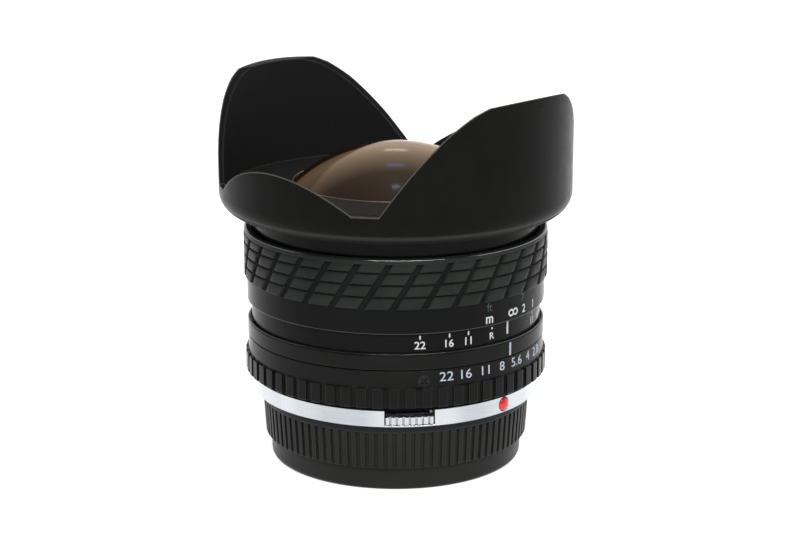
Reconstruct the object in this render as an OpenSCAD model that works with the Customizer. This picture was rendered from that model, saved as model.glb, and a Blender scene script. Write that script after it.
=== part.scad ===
// Fisheye lens with a petal hood, standing on its rear cap.
// Sizes in millimetres. The origin is the centre of the foot of the rear cap.
// z runs up the optical axis to the subject and the index mark faces minus y.
// Angles around the lens count from the index mark towards plus x.

/* [Rear cap] */
// Height of the rear cap from its foot to its rim
cap_h = 14.5; // [13.5:0.1:17]
// How far the rim of the rear cap sits inside the barrel
cap_step = 2.9; // [2.7:0.1:3.2]
// Height of the smooth band under the ribs
cap_low_h = 5; // [4:0.1:5.5]
// How far the smooth band sits inside the rim
cap_low_step = 1.8; // [1.5:0.1:2.3]
// Number of ribs around the rear cap
cap_ribs = 94; // [72:2:108]
// Depth of the grooves between the ribs
cap_rib_depth = 0.5; // [0.3:0.05:0.6]

/* [Mount ring] */
// Height of the bright mount ring
mount_h = 3.6; // [3.4:0.1:4.2]
// How far the mount ring sits inside the barrel
mount_step = 1.2; // [1.1:0.05:1.5]
// Radius of the free throat of the mount
throat_r = 17.5; // [16:0.1:19]
// Width of the mount ring from its rim to its bore
flange_w = 9; // [8.6:0.1:9.4]
// Angle from the index mark to each of the two buttons
button_angle = 42; // [36:1:48]
// Width of a button
button_w = 9.6; // [8:0.1:10]
// Radius of the alignment bead
bead_r = 1.55; // [1.2:0.05:1.6]

/* [Barrel] */
// Radius of the barrel at the distance band
barrel_r = 31.2; // [30.8:0.1:32.5]
// Height of the aperture ring
ap_h = 7.6; // [7:0.1:9]
// How far the ribs of the aperture ring stand out of the barrel
ap_rise = 0.5; // [0.3:0.05:0.6]
// Number of ribs around the aperture ring
ap_ribs = 60; // [48:4:72]
// Radius of the screw head in the aperture ring
ap_screw_r = 1.2; // [0.9:0.05:1.25]
// Angle from the index mark to the screw in the aperture ring
ap_screw_angle = -36.9; // [-45:0.1:-33]
// Height of the fixed band with the index mark
band_h = 3.35; // [3:0.05:4.5]
// Height of the depth of field ring
dof_h = 3.9; // [3.4:0.1:5]
// How far the depth of field ring sits inside the barrel
dof_step = 0.85; // [0.7:0.05:1]
// Height of the distance band
scale_h = 5.1; // [4.5:0.1:6]

/* [Focus grip] */
// Height of the grip with its metal lip
grip_h = 10.15; // [9.8:0.05:12]
// How far the grip stands out of the barrel
grip_rise = 0.6; // [0.5:0.05:0.8]
// Number of tiles around the grip
grip_columns = 32; // [24:2:36]
// Number of rows of tiles
grip_rows = 4; // [3:1:5]
// Lean of the slanted grooves from upright in degrees
grip_slant = 31; // [20:1:40]
// Width of the slanted grooves
grip_groove = 1.3; // [0.7:0.05:1.5]
// Depth of the slanted grooves
grip_depth = 0.7; // [0.5:0.05:0.8]
// Height of the metal lip above the rubber
lip_h = 0.6; // [0.5:0.05:0.9]
// Travel of the optical unit from infinity to the nearest distance
focus_travel = 2.1; // [1:0.1:2.5]
// Turn of the focus ring over that travel in degrees
focus_turn = 135; // [90:5:140]

/* [Hood] */
// Outer radius of the hood
hood_r = 36.75; // [36:0.05:40]
// Wall thickness of the hood
hood_wall = 1.1; // [0.9:0.1:1.8]
// Height of the neck under the hood
neck_h = 3.55; // [3:0.05:5]
// Radius of the rounded bottom of the hood
bowl_r = 4.2; // [3.5:0.1:5]
// Height of the wall from the rounded bottom to the valleys
valley_h = 1.8; // [1.5:0.1:3]
// Height of the two long petals above the valleys
petal_h = 21.1; // [15:0.1:24]
// Height of the two short petals above the valleys
small_petal_h = 6.8; // [4:0.1:9]
// Angle from the middle of a long petal to its corner
petal_corner = 18; // [12:1:24]
// Angle from the middle of a long petal to the valley
petal_foot = 52.6; // [48:0.2:55]
// Angle from the middle of a long petal to the foot of a short petal
small_foot = 60.5; // [58:0.5:64]

/* [Glass] */
// Radius of the front glass
glass_r = 22; // [21.5:0.1:23]
// Radius of curvature of the front glass
dome_r = 32; // [29:0.5:38]
// Thickness of the front glass at its edge
glass_edge = 3.44; // [3:0.02:4]

/* [Iris] */
// Radius of the light opening of the iris
iris_open_r = 6.9; // [6.2:0.1:7]
// Swing of a blade from open to smallest stop in degrees
blade_swing = 25.3; // [20:0.1:26]
// Part of the swing that is closed as drawn
blade_rest = 0.4167; // [0.2:0.01:0.8]

/* [Clearances] */
// Gap around a turning or sliding ring
run_gap = 0.3; // [0.2:0.05:0.35]
// Gap between the ends of two rings
end_gap = 0.2; // [0.15:0.05:0.3]

/* [Hidden] */
$fn = 96;
eps = 0.01;
iris_count = 7;

// Heights from the foot to the tips of the petals
z_flange = cap_h + end_gap;
z_mount = z_flange + mount_h;
washer_t = 0.6;
z_base = z_mount + washer_t;
z_ap0 = z_base + end_gap + 0.05;
z_ap1 = z_ap0 + ap_h;
ap_rib_h = ap_h * 0.54;
z_ap_screw = z_ap0 + ap_rib_h + 1.35;
z_band0 = z_ap1 + end_gap;
z_band1 = z_band0 + band_h;
z_dof1 = z_band1 + dof_h;
z_foc0 = z_dof1 + end_gap;
z_grip0 = z_foc0 + scale_h;
z_grip1 = z_grip0 + grip_h;
z_rubber = z_grip1 - lip_h;
z_bowl0 = z_grip1 + neck_h;
z_wall0 = z_bowl0 + bowl_r;
z_valley = z_wall0 + valley_h;
z_tip = z_valley + petal_h;
z_small = z_valley + small_petal_h;
z_floor = z_bowl0 + 1.6;

// Radii from the outside to the axis
cap_r = barrel_r - cap_step;
cap_low_r = cap_r - cap_low_step;
cap_in_r = cap_r - 2;
cap_round = 1.2;
mount_r = barrel_r - mount_step;
mount_in = mount_r - flange_w;
tube_r = mount_in + 2;
tab_r = tube_r + 2.2;
ap_r = barrel_r + ap_rise;
ap_num_r = barrel_r - 0.15;
ap_bore = barrel_r - 1.7;
sleeve_r = ap_bore - run_gap;
band_r = barrel_r - 0.05;
dof_r = barrel_r - dof_step;
grip_r = barrel_r + grip_rise;
grip_in = grip_r - 0.95;
lip_r = grip_r - 0.1;
neck_r = barrel_r - 1.2;
rebate_r = neck_r + run_gap;
focus_bore = barrel_r - 2.1;
stub_r = focus_bore - run_gap;
bore_r = stub_r - 1.9;
unit_r = bore_r - run_gap;
cell_r = unit_r - 2;
thread_bore = bore_r + 0.7;
thread_r = thread_bore - run_gap;

// Heights of the focus drive
z_step = z_grip0 + 3.8;
z_stub = z_step - run_gap;
z_thread = z_step + 0.1;
z_rebate = z_grip1 - focus_travel - 1.4;
z_skirt = z_rebate + 0.5;
z_stop = z_grip0 + 1.3;
stop_r = 0.5;
stop_depth = 0.8;

// Mount details
tube_h = 6;
tab_t = 1.6;
z_tab = z_flange - tube_h + 0.2;
lug_t = 1.9;
z_lug = z_tab + tab_t + 0.5;
pin_r = 0.7;
pin_at = tube_r + 1;
notch_in = pin_at + 1.2;
notch_floor = 0.4;
button_h = 1.55;
button_press = 1.4;
button_l = mount_r - notch_in - button_press - run_gap;
tooth_pitch = 2.5;
screw_head_r = 1.3;
screw_head_h = 1.1;
screw_r = 0.75;
screw_sink = 0.05;
screw_gap = 0.03;
screw_at = mount_r - 3.5;
z_pin = z_flange - 1.3;
z_mask = z_flange - 5.1;
mask_in = mount_in - 1.2;

// Glass, counted down from the seat of the front glass
z_seat = z_bowl0 + 1.3;
z_edge = z_seat + glass_edge;
z_apex = z_edge + sag(dome_r, glass_r);
cave_h = z_apex - 2.2 - z_seat;
cave_a = glass_r - 7.5;
cave_r = (cave_h * cave_h + cave_a * cave_a) / (2 * cave_h);
front_tube_r = glass_r + 2;
g2_r = 13.8;
z_g2 = z_seat - 5.7;
z_g2_apex = z_seat + 3;
g3_r = 9;
z_g3_front = z_seat - 9.3;
z_g3_back = z_seat - 17.3;
rear_r = 10;
z_rear_lip = z_seat - 23.6;
z_cement = z_rear_lip - 3.5;
z_g5_back = z_cement - 1.2;
z_g6 = z_g5_back - 2.6;
z_g7 = z_g6 - 2.1;
z_cell0 = z_g7 - 2.9;
z_unit0 = z_base + 2.1;

// Iris, in the same stack
z_iris = z_rear_lip + 1;
pivot_r = 0.57724 * cell_r;
lever = 0.23944 * pivot_r;
post_r = 0.5;
pivot_gap = 0.06;
drive_pin_r = 0.35;
blade_t = 0.1;
blade_pitch = 0.16;
blade_in = iris_open_r + 0.2;
blade_out = pivot_r - 1.2;
housing_r = 0.8943 * cell_r;
z_blades = z_iris + 1.1;
z_drive = z_blades + iris_count * blade_pitch + 0.4;
drive_t = 0.8;
z_cover = z_drive + drive_t + 0.3;
drive_out = housing_r - 1.8 - run_gap;
lever_rest = blade_swing * (blade_rest - 0.5);
slot_angle = atan2(lever * sin(lever_rest), pivot_r + lever * cos(lever_rest));

// Which piece to draw

function sag(r, a) = r - sqrt(r * r - a * a);

// Places a piece at an angle from the index mark, x pointing outwards
module at(a, r = 0, z = 0) {
  rotate([0, 0, a - 90])
    translate([r, 0, z])
      children();
}

module ring(r0, r1, z0, z1) {
  rotate_extrude()
    translate([r0, z0])
      square([r1 - r0, z1 - z0]);
}

// A pie slice that leaves only the angles from a0 to a1
module slice(a0, a1, r, z0, z1) {
  translate([0, 0, z0])
    linear_extrude(height = z1 - z0)
      polygon([[0, 0],
        [r * sin(a0), -r * cos(a0)],
        [1.2 * r * sin((a0 + a1) / 2), -1.2 * r * cos((a0 + a1) / 2)],
        [r * sin(a1), -r * cos(a1)]]);
}

// A pin that points outwards, from radius r0 to radius r1
module spoke(a, z, r, r0, r1) {
  at(a, r0, z)
    rotate([0, 90, 0])
      cylinder(r = r, h = r1 - r0);
}

// Rear cap: a ribbed cup with three inner lugs

module cap_shell() {
  rotate_extrude()
    difference() {
      union() {
        square([cap_low_r - cap_round, cap_low_h]);
        translate([0, cap_round])
          square([cap_low_r, cap_low_h]);
        translate([cap_low_r - cap_round, cap_round])
          circle(r = cap_round);
        polygon([[0, cap_low_h], [cap_r - 0.9, cap_low_h], [cap_r - 0.6, cap_low_h + 0.3],
          [cap_r - 0.1, cap_h - 1.6], [cap_r, cap_h - 1.5], [cap_r, cap_h - 0.2],
          [cap_r - 0.2, cap_h], [0, cap_h]]);
      }
      translate([0, 2])
        square([cap_low_r - 1.6, cap_h]);
      translate([0, cap_low_h + 1.4])
        square([cap_in_r, cap_h]);
    }
}

module cap_groove() {
  lean = atan2(0.5, cap_h - cap_low_h - 1.9);
  groove_w = 3.14159 * cap_r / cap_ribs;
  translate([cap_r - 0.65 - cap_rib_depth, -groove_w / 2, cap_low_h - 1])
    rotate([0, lean, 0])
      cube([3, groove_w, cap_h - cap_low_h - 0.7]);
}

module rear_cap() {
  color([0.09, 0.09, 0.09]) {
    difference() {
      cap_shell();
      for (i = [0 : cap_ribs - 1])
        rotate([0, 0, i * 360 / cap_ribs])
          cap_groove();
    }
    for (a = [0, 120, 240])
      intersection() {
        ring(tube_r + 0.4, cap_in_r + 0.3, z_lug, z_lug + lug_t);
        slice(a - 20, a + 20, 2 * cap_r, 0, cap_h);
      }
  }
}

// Mount ring with its bayonet, bead, screws, mask and filter frame

module button_notch(a) {
  at(a, notch_in, z_flange + notch_floor)
    translate([0, -button_w / 2 - run_gap, 0])
      cube([8, button_w + 2 * run_gap, mount_h]);
}

module mount_screw(a, gap = 0) {
  at(a, screw_at, z_flange + screw_sink) {
    cylinder(r1 = screw_head_r + gap, r2 = screw_r + gap, h = screw_head_h);
    cylinder(r = screw_r + gap, h = mount_h + washer_t + 0.8 + gap);
  }
}

// The hole that a mount screw sits in, open at the flange
module screw_hole(a) {
  mount_screw(a, screw_gap);
  at(a, screw_at, z_flange - eps)
    cylinder(r = screw_head_r + screw_gap, h = screw_sink + 2 * eps);
}

module mount_ring() {
  color([0.83, 0.84, 0.85])
    difference() {
      union() {
        rotate_extrude()
          polygon([[mount_in, z_flange - tube_h], [tube_r - 0.2, z_flange - tube_h],
            [tube_r, z_flange - tube_h + 0.2], [tube_r, z_flange], [mount_r - 0.15, z_flange],
            [mount_r, z_flange + 0.15], [mount_r, z_mount - 0.15], [mount_r - 0.15, z_mount],
            [mount_in, z_mount]]);
        for (a = [0, 120, 240])
          intersection() {
            ring(tube_r - 0.5, tab_r, z_tab, z_tab + tab_t);
            slice(a - 22, a + 22, 2 * barrel_r, 0, z_mount);
          }
      }
      button_notch(button_angle);
      button_notch(-button_angle);
      for (a = [0, 90, 180, 270])
        screw_hole(a);
      spoke(0, z_flange + mount_h / 2, bead_r, mount_r - 1.6, mount_r + 2);
      at(-button_angle, pin_at, z_flange - 1)
        cylinder(r = pin_r + 0.05, h = mount_h + 3);
    }
}

module alignment_bead() {
  color([0.8, 0.08, 0.07])
    at(0, mount_r - 1.6, z_flange + mount_h / 2)
      rotate([0, 90, 0])
        intersection() {
          cylinder(r = bead_r, h = 3);
          translate([0, 0, 2.25 - bead_r * 1.15])
            sphere(r = bead_r * 1.15);
        }
  color([0.8, 0.08, 0.07])
    spoke(0, z_flange + mount_h / 2, bead_r, mount_r - 1.6, mount_r - 0.4);
}

module mount_screws() {
  color([0.7, 0.7, 0.72])
    for (a = [0, 90, 180, 270])
      difference() {
        mount_screw(a);
        at(a, screw_at, z_flange) {
          cube([1.5, 0.3, 0.9], center = true);
          cube([0.3, 1.5, 0.9], center = true);
        }
      }
}

module ring_washer() {
  color([0.05, 0.05, 0.05])
    difference() {
      ring(mount_in + 0.6, ap_num_r - 0.6, z_mount, z_base);
      for (a = [0, 90, 180, 270])
        screw_hole(a);
    }
}

module rear_mask() {
  color([0.04, 0.04, 0.04])
    difference() {
      rotate_extrude()
        polygon([[0, z_mask], [mount_in, z_mask], [mount_in, z_mount - 0.1],
          [mask_in, z_mount - 0.1], [mask_in, z_mount - 2.4], [throat_r, z_mount - 2.4],
          [throat_r, z_mount - 3.4], [mask_in, z_mount - 3.4], [mask_in, z_mask + 1],
          [0, z_mask + 1]]);
      translate([0, 0, z_flange])
        cube([1.24 * mount_in, 0.86 * mount_in, 30], center = true);
    }
}

module gel_frame() {
  color([0.45, 0.45, 0.46])
    difference() {
      ring(0, mount_in - 1.5, z_mask - 0.5, z_mask);
      translate([0, 0, z_mask])
        cube([1.29 * mount_in, 0.95 * mount_in, 4], center = true);
      for (s = [-1, 1])
        translate([0, s * (mount_in - 4), z_mask])
          cube([7, 1.2, 4], center = true);
    }
}

// Fixed barrel, its depth of field ring, keys and click ball

module rear_barrel() {
  color([0.07, 0.07, 0.07])
    difference() {
      rotate_extrude()
        polygon([[mount_in + 0.5, z_base], [sleeve_r, z_base], [sleeve_r, z_band0],
          [band_r - 0.1, z_band0], [band_r, z_band0 + 0.1], [band_r, z_band1 - 0.45],
          [band_r - 0.15, z_band1 - 0.12], [band_r - 0.4, z_band1], [band_r - 0.55, z_band1 - 0.1],
          [band_r - 0.55, z_band1 - 0.9], [dof_r - 0.1, z_band1 - 0.9],
          [dof_r - 0.1, z_band1], [stub_r, z_band1],
          [stub_r, z_stub], [bore_r, z_stub], [bore_r, z_base + 1.2],
          [mount_in + 0.5, z_base + 1.2]]);
      difference() {
        ring(stub_r - stop_depth, stub_r + 1, z_stop - stop_r - 0.2, z_stop + stop_r + 0.2);
        for (s = [0, 180])
          slice(92.5 + s, 267.5 - focus_turn + s, 2 * barrel_r, 0, z_stub + 5);
      }
      for (a = [0, 90, 180, 270])
        screw_hole(a);
      for (a = [90, 270])
        guide_key(a);
      spoke(180, (z_ap0 + z_ap1) / 2, 0.85, sleeve_r - 1.9, sleeve_r + 1);
    }
}

module guide_key(a) {
  at(a, cell_r + 0.25, z_grip0 - 3.5)
    translate([0, -1.5, 0])
      cube([bore_r - cell_r + 0.55, 3, 5]);
}

module guide_keys() {
  color([0.72, 0.6, 0.3])
    for (a = [90, 270])
      guide_key(a);
}

module depth_ring() {
  color([0.06, 0.06, 0.06])
    rotate_extrude()
      polygon([[stub_r, z_band1], [dof_r - 0.1, z_band1], [dof_r, z_band1 + 0.1],
        [dof_r, z_dof1 - 0.1], [dof_r - 0.1, z_dof1], [stub_r, z_dof1]]);
}

module click_ball() {
  color([0.75, 0.75, 0.77])
    at(180, sleeve_r - 0.6, (z_ap0 + z_ap1) / 2)
      sphere(r = 0.8);
}

// Buttons of the mount ring and the lock pin

module button(a) {
  difference() {
    at(a, mount_r - button_l, z_flange + notch_floor + 0.1)
      translate([0, -button_w / 2, 0])
        cube([button_l + 3, button_w, button_h]);
    ring(mount_r - 0.05, mount_r + 20, z_flange - 1, z_mount + 1);
    for (i = [-3 : 3])
      at(a + i * tooth_pitch, mount_r - 0.45, z_flange - 1)
        translate([0, -0.25, 0])
          cube([3, 0.5, mount_h + 2]);
  }
}

module release_button() {
  color([0.8, 0.8, 0.81])
    button(-button_angle);
}

module preview_button() {
  color([0.8, 0.8, 0.81])
    button(button_angle);
}

module lock_pin() {
  color([0.75, 0.75, 0.77])
    at(-button_angle, pin_at, z_pin) {
      cylinder(r1 = pin_r - 0.2, r2 = pin_r, h = 0.2);
      translate([0, 0, 0.2])
        cylinder(r = pin_r, h = 1.1 + mount_h - 1.7);
    }
}

// Aperture ring with castle ribs

module aperture_ring() {
  pitch = 2 * 3.14159 * ap_r / ap_ribs;
  color([0.08, 0.08, 0.08])
    difference() {
      rotate_extrude()
        polygon([[ap_bore, z_ap0], [ap_r - 0.15, z_ap0], [ap_r, z_ap0 + 0.15],
          [ap_r, z_ap0 + ap_rib_h - 0.1], [ap_r - 0.1, z_ap0 + ap_rib_h],
          [ap_num_r + 0.15, z_ap0 + ap_rib_h], [ap_num_r, z_ap1 - 0.12],
          [ap_num_r - 0.12, z_ap1], [ap_bore, z_ap1]]);
      for (i = [0 : ap_ribs - 1])
        at((i + 0.5) * 360 / ap_ribs, ap_num_r + 0.15, z_ap0 - 1)
          translate([0, -pitch * 0.2, 0])
            cube([3, pitch * 0.4, ap_rib_h + 1]);
      spoke(ap_screw_angle, z_ap_screw, ap_screw_r, ap_bore + 0.2, ap_r + 1);
      for (i = [-5 : 7])
        at(180 - i * 4.2, ap_bore - 0.72, (z_ap0 + z_ap1) / 2)
          sphere(r = 0.9);
    }
}

module aperture_screw() {
  slot_w = 0.3;
  color([0.05, 0.05, 0.05])
    difference() {
      spoke(ap_screw_angle, z_ap_screw, ap_screw_r, ap_bore + 0.2, ap_num_r - 0.05);
      at(ap_screw_angle, ap_num_r, z_ap_screw)
        rotate([45, 0, 0]) {
          cube([0.8, 1.4 * ap_screw_r, slot_w], center = true);
          cube([0.8, slot_w, 1.4 * ap_screw_r], center = true);
        }
    }
}

// Focus ring, grip and stop screws

module focus_ring() {
  color([0.07, 0.07, 0.07])
    difference() {
      rotate_extrude()
        polygon([[focus_bore, z_foc0], [barrel_r - 0.12, z_foc0], [barrel_r, z_foc0 + 0.12],
          [barrel_r, z_grip0], [grip_in, z_grip0], [grip_in, z_rubber], [lip_r, z_rubber],
          [lip_r, z_grip1 - 0.4], [lip_r - 0.12, z_grip1 - 0.12], [lip_r - 0.4, z_grip1],
          [rebate_r, z_grip1], [rebate_r, z_rebate],
          [thread_bore, z_rebate], [thread_bore, z_step], [focus_bore, z_step]]);
      for (a = [90, 270])
        spoke(a, z_stop, stop_r, stub_r - 2, grip_in + 2);
    }
}

module focus_grip() {
  rim = 0.4;
  row_h = (grip_h - rim) / grip_rows;
  color([0.06, 0.06, 0.065]) {
    difference() {
      rotate_extrude()
        polygon([[grip_in, z_grip0], [grip_r - 0.25, z_grip0], [grip_r, z_grip0 + 0.25],
          [grip_r, z_rubber - rim], [grip_in, z_rubber - rim]]);
      for (i = [1 : grip_rows - 1])
        ring(grip_r - 0.4, grip_r + 1, z_grip0 + i * row_h - 0.2, z_grip0 + i * row_h + 0.2);
      for (i = [0 : grip_columns - 1])
        at(i * 360 / grip_columns, grip_r - grip_depth + 1.5, (z_grip0 + z_grip1) / 2)
          rotate([-grip_slant, 0, 0])
            cube([3, grip_groove, 3 * grip_h], center = true);
    }
    rotate_extrude()
      polygon([[grip_in, z_rubber - rim], [lip_r, z_rubber - rim], [lip_r, z_rubber - 0.1],
        [lip_r - 0.1, z_rubber], [grip_in, z_rubber]]);
  }
}

module stop_screws() {
  color([0.7, 0.7, 0.72])
    for (a = [90, 270])
      spoke(a, z_stop, stop_r, stub_r - stop_depth + 0.3, grip_in - 0.2);
}

// Optical unit: barrel, hood and front ring

module optical_barrel() {
  color([0.06, 0.06, 0.06])
    difference() {
      rotate_extrude()
        polygon([[cell_r, z_unit0], [unit_r, z_unit0], [unit_r, z_thread],
          [thread_r, z_thread], [thread_r, z_skirt], [neck_r - 0.1, z_skirt],
          [neck_r, z_skirt + 0.1], [neck_r, z_bowl0], [front_tube_r, z_bowl0],
          [front_tube_r, z_edge - 0.5], [glass_r, z_edge - 0.5], [glass_r, z_seat],
          [glass_r - 5, z_seat], [glass_r - 5, z_seat - 2], [cell_r, z_seat - 2]]);
      for (a = [90, 270])
        at(a, cell_r - 1, z_base)
          translate([0, -1.5 - run_gap, 0])
            cube([bore_r - cell_r + 3, 3 + 2 * run_gap, z_grip0 + 1.5 + run_gap - z_base]);
    }
}

// The space taken out between the petals: the view of a wide frame
module petal_cut() {
  yv = hood_r * cos(petal_foot);
  yc = hood_r * cos(petal_corner);
  xv = hood_r * sin(small_foot);
  rise = petal_h - 0.6;
  run = yc - yv;
  top = z_tip + 5;
  slope = small_petal_h / (hood_r - xv);
  big = 3 * hood_r;
  intersection() {
    rotate([90, 0, 90])
      translate([0, 0, -big / 2])
        linear_extrude(height = big)
          polygon([[yv, z_valley], [yv + 0.36 * run, z_valley + 0.392 * rise],
            [yv + 0.71 * run, z_valley + 0.756 * rise], [yv + 0.9 * run, z_valley + 0.93 * rise],
            [yc, z_valley + rise], [hood_r, z_tip - 0.05], [hood_r + 2, z_tip], [hood_r + 2, top],
            [-hood_r - 2, top], [-hood_r - 2, z_tip], [-hood_r, z_tip - 0.05],
            [-yc, z_valley + rise], [-yv - 0.9 * run, z_valley + 0.93 * rise],
            [-yv - 0.71 * run, z_valley + 0.756 * rise],
            [-yv - 0.36 * run, z_valley + 0.392 * rise], [-yv, z_valley]]);
    rotate([90, 0, 0])
      translate([0, 0, -big / 2])
        linear_extrude(height = big)
          polygon([[xv, z_valley], [xv + 9, z_valley + 9 * slope], [xv + 9, top + 30],
            [-xv - 9, top + 30], [-xv - 9, z_valley + 9 * slope], [-xv, z_valley]]);
  }
}

module hood() {
  in_r = bowl_r - hood_wall;
  color([0.05, 0.05, 0.05])
    difference() {
      rotate_extrude()
        difference() {
          union() {
            translate([front_tube_r, z_bowl0])
              square([hood_r - bowl_r - front_tube_r, z_tip - z_bowl0]);
            translate([front_tube_r, z_wall0])
              square([hood_r - front_tube_r, z_tip - z_wall0]);
            translate([hood_r - bowl_r, z_wall0])
              circle(r = bowl_r);
          }
          translate([0, z_wall0])
            square([hood_r - hood_wall, 2 * petal_h]);
          translate([0, z_floor])
            square([hood_r - hood_wall - in_r, 2 * petal_h]);
          translate([hood_r - hood_wall - in_r, z_floor + in_r])
            circle(r = in_r);
        }
      petal_cut();
    }
}

module front_ring() {
  color([0.11, 0.11, 0.11])
    difference() {
      rotate_extrude()
        polygon([[glass_r - 0.75, z_edge + 1], [glass_r + 5.6, z_edge - 0.35],
          [glass_r + 6.3, z_edge - 0.95], [glass_r + 6.3, z_floor], [front_tube_r, z_floor],
          [front_tube_r, z_edge - 0.45], [glass_r + 0.1, z_edge + 0.1],
          [glass_r - 0.75, z_edge + 0.78]]);
      for (a = [60, 240])
        at(a, glass_r + 3.5, z_edge)
          cylinder(r = 0.7, h = 6, center = true);
    }
}

// Glass elements and their cells

module front_glass() {
  color([0.35, 0.25, 0.2])
    difference() {
      intersection() {
        translate([0, 0, z_apex - dome_r])
          sphere(r = dome_r);
        translate([0, 0, z_seat])
          cylinder(r = glass_r, h = dome_r);
      }
      translate([0, 0, z_apex - 2.2 - cave_r])
        sphere(r = cave_r);
    }
}

module second_glass() {
  color([0.4, 0.35, 0.4])
    difference() {
      intersection() {
        translate([0, 0, z_g2_apex - 26])
          sphere(r = 26);
        translate([0, 0, z_g2])
          cylinder(r = g2_r, h = 20);
      }
      translate([0, 0, z_g2_apex - 1.6 - 9.5])
        sphere(r = 9.5);
    }
}

module second_ring() {
  z_top = z_g2_apex - sag(26, g2_r);
  color([0.05, 0.05, 0.05])
    rotate_extrude()
      polygon([[g2_r - 0.9, z_top + 0.62], [g2_r, z_top + 0.05], [g2_r + 0.6, z_top + 0.05],
        [g2_r + 0.6, z_top + 0.7], [g2_r - 0.9, z_top + 0.9]]);
}

module front_cell() {
  z_top = z_g2_apex - sag(26, g2_r);
  z_low = z_g3_back + 0.3;
  z_lip = z_g3_front - sag(20, g3_r);
  color([0.05, 0.05, 0.05])
    rotate_extrude()
      polygon([[g2_r, z_top + 0.05], [g2_r + 1.6, z_top + 0.05], [g2_r + 1.6, z_seat - 2],
        [cell_r, z_seat - 2], [cell_r, z_seat - 4], [g2_r + 1.6, z_seat - 4],
        [g2_r + 1.6, z_g2 - 1.6], [g3_r + 2.2, z_g2 - 1.6], [g3_r + 2.2, z_low],
        [g3_r, z_low], [g3_r, z_lip], [g3_r - 0.8, z_lip + 0.5], [g3_r - 0.8, z_lip + 1.2],
        [g3_r + 0.4, z_g2 - 1.6], [g2_r - 2.8, z_g2], [g2_r, z_g2]]);
}

module third_glass() {
  color([0.4, 0.4, 0.38])
    intersection() {
      translate([0, 0, z_g3_front - 20])
        sphere(r = 20);
      translate([0, 0, z_g3_back + 25])
        sphere(r = 25);
      translate([0, 0, z_g3_back - 1])
        cylinder(r = g3_r, h = 12);
    }
}

module third_ring() {
  z_edge3 = z_g3_back + sag(25, g3_r);
  color([0.05, 0.05, 0.05])
    rotate_extrude()
      polygon([[g3_r - 1, z_g3_back + 0.35], [g3_r, z_g3_back + 0.35], [g3_r, z_edge3 - 0.02],
        [g3_r - 1, z_edge3 - 0.5]]);
}

module rear_cell() {
  color([0.05, 0.05, 0.05])
    rotate_extrude()
      polygon([[rear_r, z_cell0], [rear_r + 1.7, z_cell0], [rear_r + 2, z_cell0 + 0.3],
        [rear_r + 2, z_iris - 1.5], [cell_r, z_iris - 1.5], [cell_r, z_iris],
        [rear_r - 1.4, z_iris], [rear_r - 1.4, z_rear_lip + 0.4], [rear_r, z_rear_lip]]);
}

module fourth_glass() {
  color([0.4, 0.4, 0.42])
    intersection() {
      translate([0, 0, z_rear_lip + sag(40, rear_r) - 40])
        sphere(r = 40);
      translate([0, 0, z_cement + 18])
        sphere(r = 18);
      translate([0, 0, z_cement - 1])
        cylinder(r = rear_r, h = 12);
    }
}

module fifth_glass() {
  color([0.42, 0.4, 0.4])
    difference() {
      translate([0, 0, z_g5_back - 1.01])
        cylinder(r = rear_r, h = z_cement - z_g5_back + sag(18, rear_r) + 0.88);
      translate([0, 0, z_cement + 18])
        sphere(r = 18);
      translate([0, 0, z_g5_back - 50])
        sphere(r = 50);
    }
}

module rear_spacer() {
  color([0.05, 0.05, 0.05])
    rotate_extrude()
      polygon([[rear_r - 1.1, z_g6 + 0.5], [rear_r, z_g6 + 0.05], [rear_r, z_g5_back - 1.01],
        [rear_r - 1.1, z_g5_back - 1.01]]);
}

module sixth_glass() {
  color([0.4, 0.42, 0.42])
    intersection() {
      translate([0, 0, z_g6 + sag(30, rear_r) - 30])
        sphere(r = 30);
      translate([0, 0, z_g6 - 1.7 - sag(45, rear_r) + 45])
        sphere(r = 45);
      translate([0, 0, z_g6 - 6])
        cylinder(r = rear_r, h = 12);
    }
}

module thin_spacer() {
  color([0.05, 0.05, 0.05])
    rotate_extrude()
      polygon([[rear_r - 0.9, z_g7], [rear_r, z_g7], [rear_r, z_g6 - 1.72],
        [rear_r - 0.9, z_g6 - 1.95]]);
}

module rear_glass() {
  color([0.4, 0.4, 0.42])
    difference() {
      intersection() {
        translate([0, 0, z_g7 - 1.6 - sag(22, rear_r) + 22])
          sphere(r = 22);
        translate([0, 0, z_g7 - 6])
          cylinder(r = rear_r, h = 6);
      }
      translate([0, 0, z_g7 - sag(35, rear_r - 0.9) + 35])
        sphere(r = 35);
    }
}

module rear_ring() {
  color([0.05, 0.05, 0.05])
    rotate_extrude()
      polygon([[rear_r - 1.4, z_cell0 + 0.2], [rear_r, z_cell0 + 0.2], [rear_r, z_g7 - 1.62],
        [rear_r - 1.4, z_g7 - 2.35]]);
}

// Iris: housing with posts, cover, drive ring and seven blades

module iris_housing() {
  color([0.06, 0.06, 0.06]) {
    rotate_extrude()
      polygon([[iris_open_r + 0.5, z_iris], [cell_r, z_iris], [cell_r, z_iris + 1],
        [housing_r, z_iris + 1], [housing_r, z_cover], [housing_r - 1.8, z_cover],
        [housing_r - 1.8, z_iris + 1], [iris_open_r + 0.5, z_iris + 1]]);
    for (i = [0 : iris_count - 1])
      rotate([0, 0, i * 360 / iris_count])
        translate([pivot_r, 0, z_iris + 1 - eps])
          cylinder(r = post_r, h = z_drive - z_iris - 1);
  }
}

module iris_cover() {
  color([0.06, 0.06, 0.06])
    difference() {
      ring(iris_open_r + 0.7, housing_r, z_cover, z_cover + 0.6);
      for (a = [45, 165, 285])
        at(a, housing_r - 0.9, z_cover)
          cylinder(r = 0.5, h = 4, center = true);
    }
}

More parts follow.
